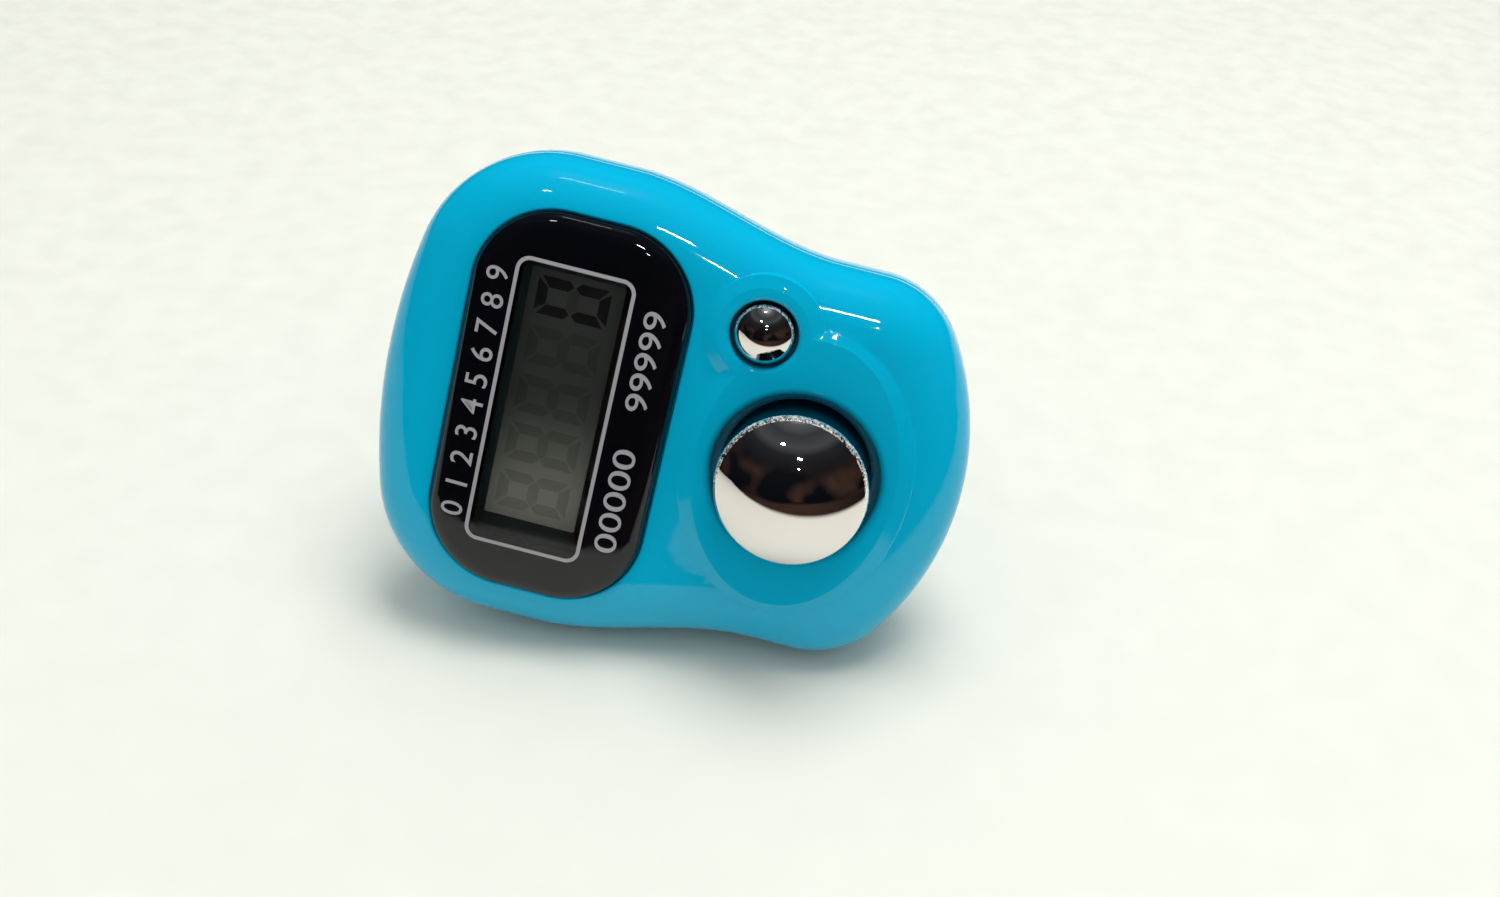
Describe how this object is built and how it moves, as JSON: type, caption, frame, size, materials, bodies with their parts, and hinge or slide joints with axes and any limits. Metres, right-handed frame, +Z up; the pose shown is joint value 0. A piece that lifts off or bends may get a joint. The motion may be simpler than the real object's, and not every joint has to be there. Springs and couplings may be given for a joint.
{
  "type": "finger tally counter",
  "caption": "Finger-worn digital tally counter: pebble-shaped lobed case, display window, domed count key, small recessed reset key and a hinged finger loop behind.",
  "frame": {"origin": "on the floor under the middle of the bounding box", "axes": "Z up; X along the floor line through the feet of the display lobe and the button lobe, towards the button lobe; Y away from the face, towards the finger band. The counter stands as in use on a table: on both lobes and the band, leaning back."},
  "size_m": [0.0402, 0.034, 0.0321],
  "materials": {
    "front_shell": "gloss injection-moulded ABS, turquoise",
    "rear_shell": "gloss injection-moulded ABS, turquoise",
    "lens": "polished acrylic, black-backed round a clear window",
    "front_glass": "polished display glass with printed segments",
    "rear_glass": "polished display glass",
    "reflector": "satin reflector film",
    "zebra": "layered conductive elastomer",
    "board": "green solder mask on glass-fibre laminate",
    "epoxy": "black epoxy resin",
    "resistor": "black thick-film coating",
    "capacitor": "tan ceramic",
    "chrome_keys": "chrome-plated ABS, mirror bright",
    "silicone": "translucent grey silicone",
    "carbon": "carbon-filled silicone",
    "cell": "nickel-plated steel",
    "contacts": "plated spring bronze",
    "screws": "zinc-plated steel",
    "pin": "polished steel wire",
    "band": "soft flexible PVC, turquoise, satin",
    "stud": "gloss ABS, turquoise"
  },
  "bodies": {
    "case": {"front_case": "front_shell", "back_case": "rear_shell", "display_lens": "lens", "lcd_front_glass": "front_glass", "lcd_rear_glass": "rear_glass", "lcd_reflector": "reflector", "zebra_strip": "zebra", "circuit_board": "board", "controller_blob": "epoxy", "timing_resistor": "resistor", "filter_capacitor": "capacitor", "count_rubber_dome": "silicone", "reset_rubber_dome": "silicone", "button_cell": "cell", "cell_spring": "contacts", "cell_clip": "contacts", "case_screw_1": "screws", "case_screw_2": "screws", "case_screw_3": "screws", "case_screw_4": "screws", "band_pin": "pin", "band_stud": "stud"},
    "count_key": {"count_button": "chrome_keys", "count_contact_pill": "carbon"},
    "reset_key": {"reset_button": "chrome_keys", "reset_contact_pill": "carbon"},
    "band": {"finger_band": "band"}
  },
  "joints": [
    {"name": "count_press", "type": "slide", "parent": "case", "child": "count_key", "axis": [0, 0.9527, -0.3038], "range_m": [0, 0.0009], "stiffness_N_per_m": 800, "springref_m": -0.0003, "deforming": ["count_rubber_dome"]},
    {"name": "reset_press", "type": "slide", "parent": "case", "child": "reset_key", "axis": [0, 0.9527, -0.3038], "range_m": [0, 0.0005], "stiffness_N_per_m": 1200, "springref_m": -0.0002, "deforming": ["reset_rubber_dome"]},
    {"name": "band_open", "type": "hinge", "parent": "case", "child": "band", "pos_m": [-0.00286, -0.00238, 0.00373], "axis": [-0.9873, 0.0484, 0.1516], "range_deg": [0, 60]}
  ]
}
